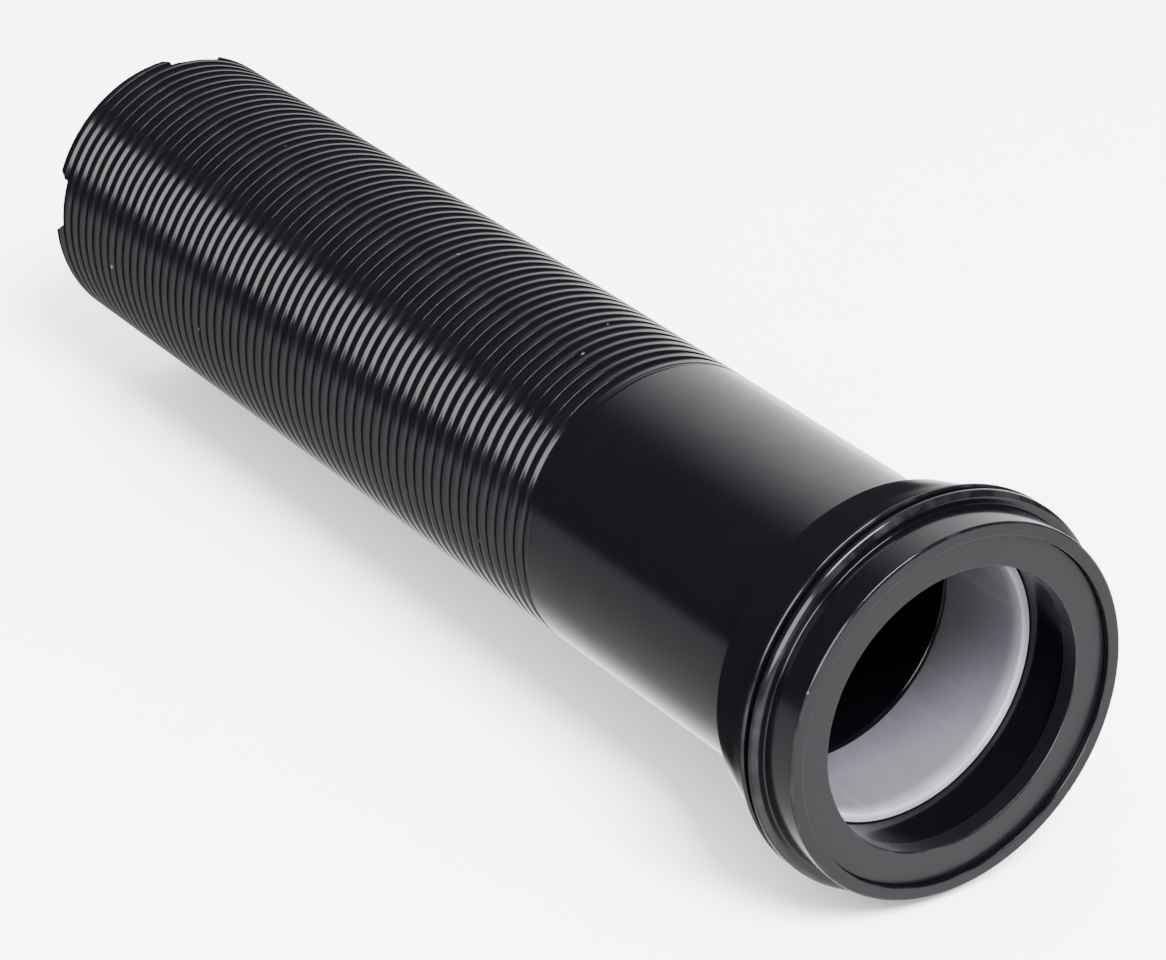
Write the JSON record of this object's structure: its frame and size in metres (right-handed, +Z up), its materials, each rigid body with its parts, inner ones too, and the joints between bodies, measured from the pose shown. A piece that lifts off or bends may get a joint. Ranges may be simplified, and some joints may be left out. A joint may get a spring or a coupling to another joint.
{
  "type": "telescope baffle tube",
  "caption": "Black threaded baffle tube of a small catadioptric telescope, with a notched nose, a flared collar, a screw-on port ring and a white guide sleeve in its bore.",
  "frame": {"origin": "on the optical axis, in the plane of the collar's rear shoulder, where the tube seats in a telescope's rear cell", "axes": "+Y along the optical axis towards the notched nose, -Y out of the port, +Z up, +X to the right of someone who looks into the port"},
  "size_m": [0.0372, 0.1304, 0.0372],
  "materials": {
    "gloss_black": "gloss black anodised",
    "satin_black": "satin black anodised",
    "flat_black": "flat black",
    "seal_rubber": "matte",
    "white_sleeve": "smooth matte"
  },
  "bodies": {
    "barrel": {"threaded_barrel": "gloss_black", "seat_collar": "gloss_black", "light_stop_1": "flat_black", "light_stop_2": "flat_black", "light_stop_3": "flat_black"},
    "seal": {"port_seal": "seal_rubber"},
    "port": {"port_ring": "gloss_black", "face_ring": "satin_black"},
    "sleeve_tail": {"back_ring": "flat_black"},
    "sleeve": {"guide_sleeve": "white_sleeve"}
  },
  "joints": [
    {"name": "port_advance", "type": "slide", "parent": "barrel", "child": "seal", "axis": [0, -1, 0], "range_m": [0, 0.00187]},
    {"name": "port_turn", "type": "hinge", "parent": "seal", "child": "port", "pos_m": [0, -0.0121, 0], "axis": [0, -1, 0], "range_deg": [0, 900]},
    {"name": "sleeve_slide", "type": "slide", "parent": "barrel", "child": "sleeve_tail", "axis": [0, -1, 0], "range_m": [0, 0.005]},
    {"name": "sleeve_turn", "type": "hinge", "parent": "sleeve_tail", "child": "sleeve", "pos_m": [0, 0, 0], "axis": [0, -1, 0], "continuous": true}
  ],
  "couplings": [
    {"joint": "port_advance", "follows": "port_turn", "m_per_rad": 0.00011937}
  ]
}
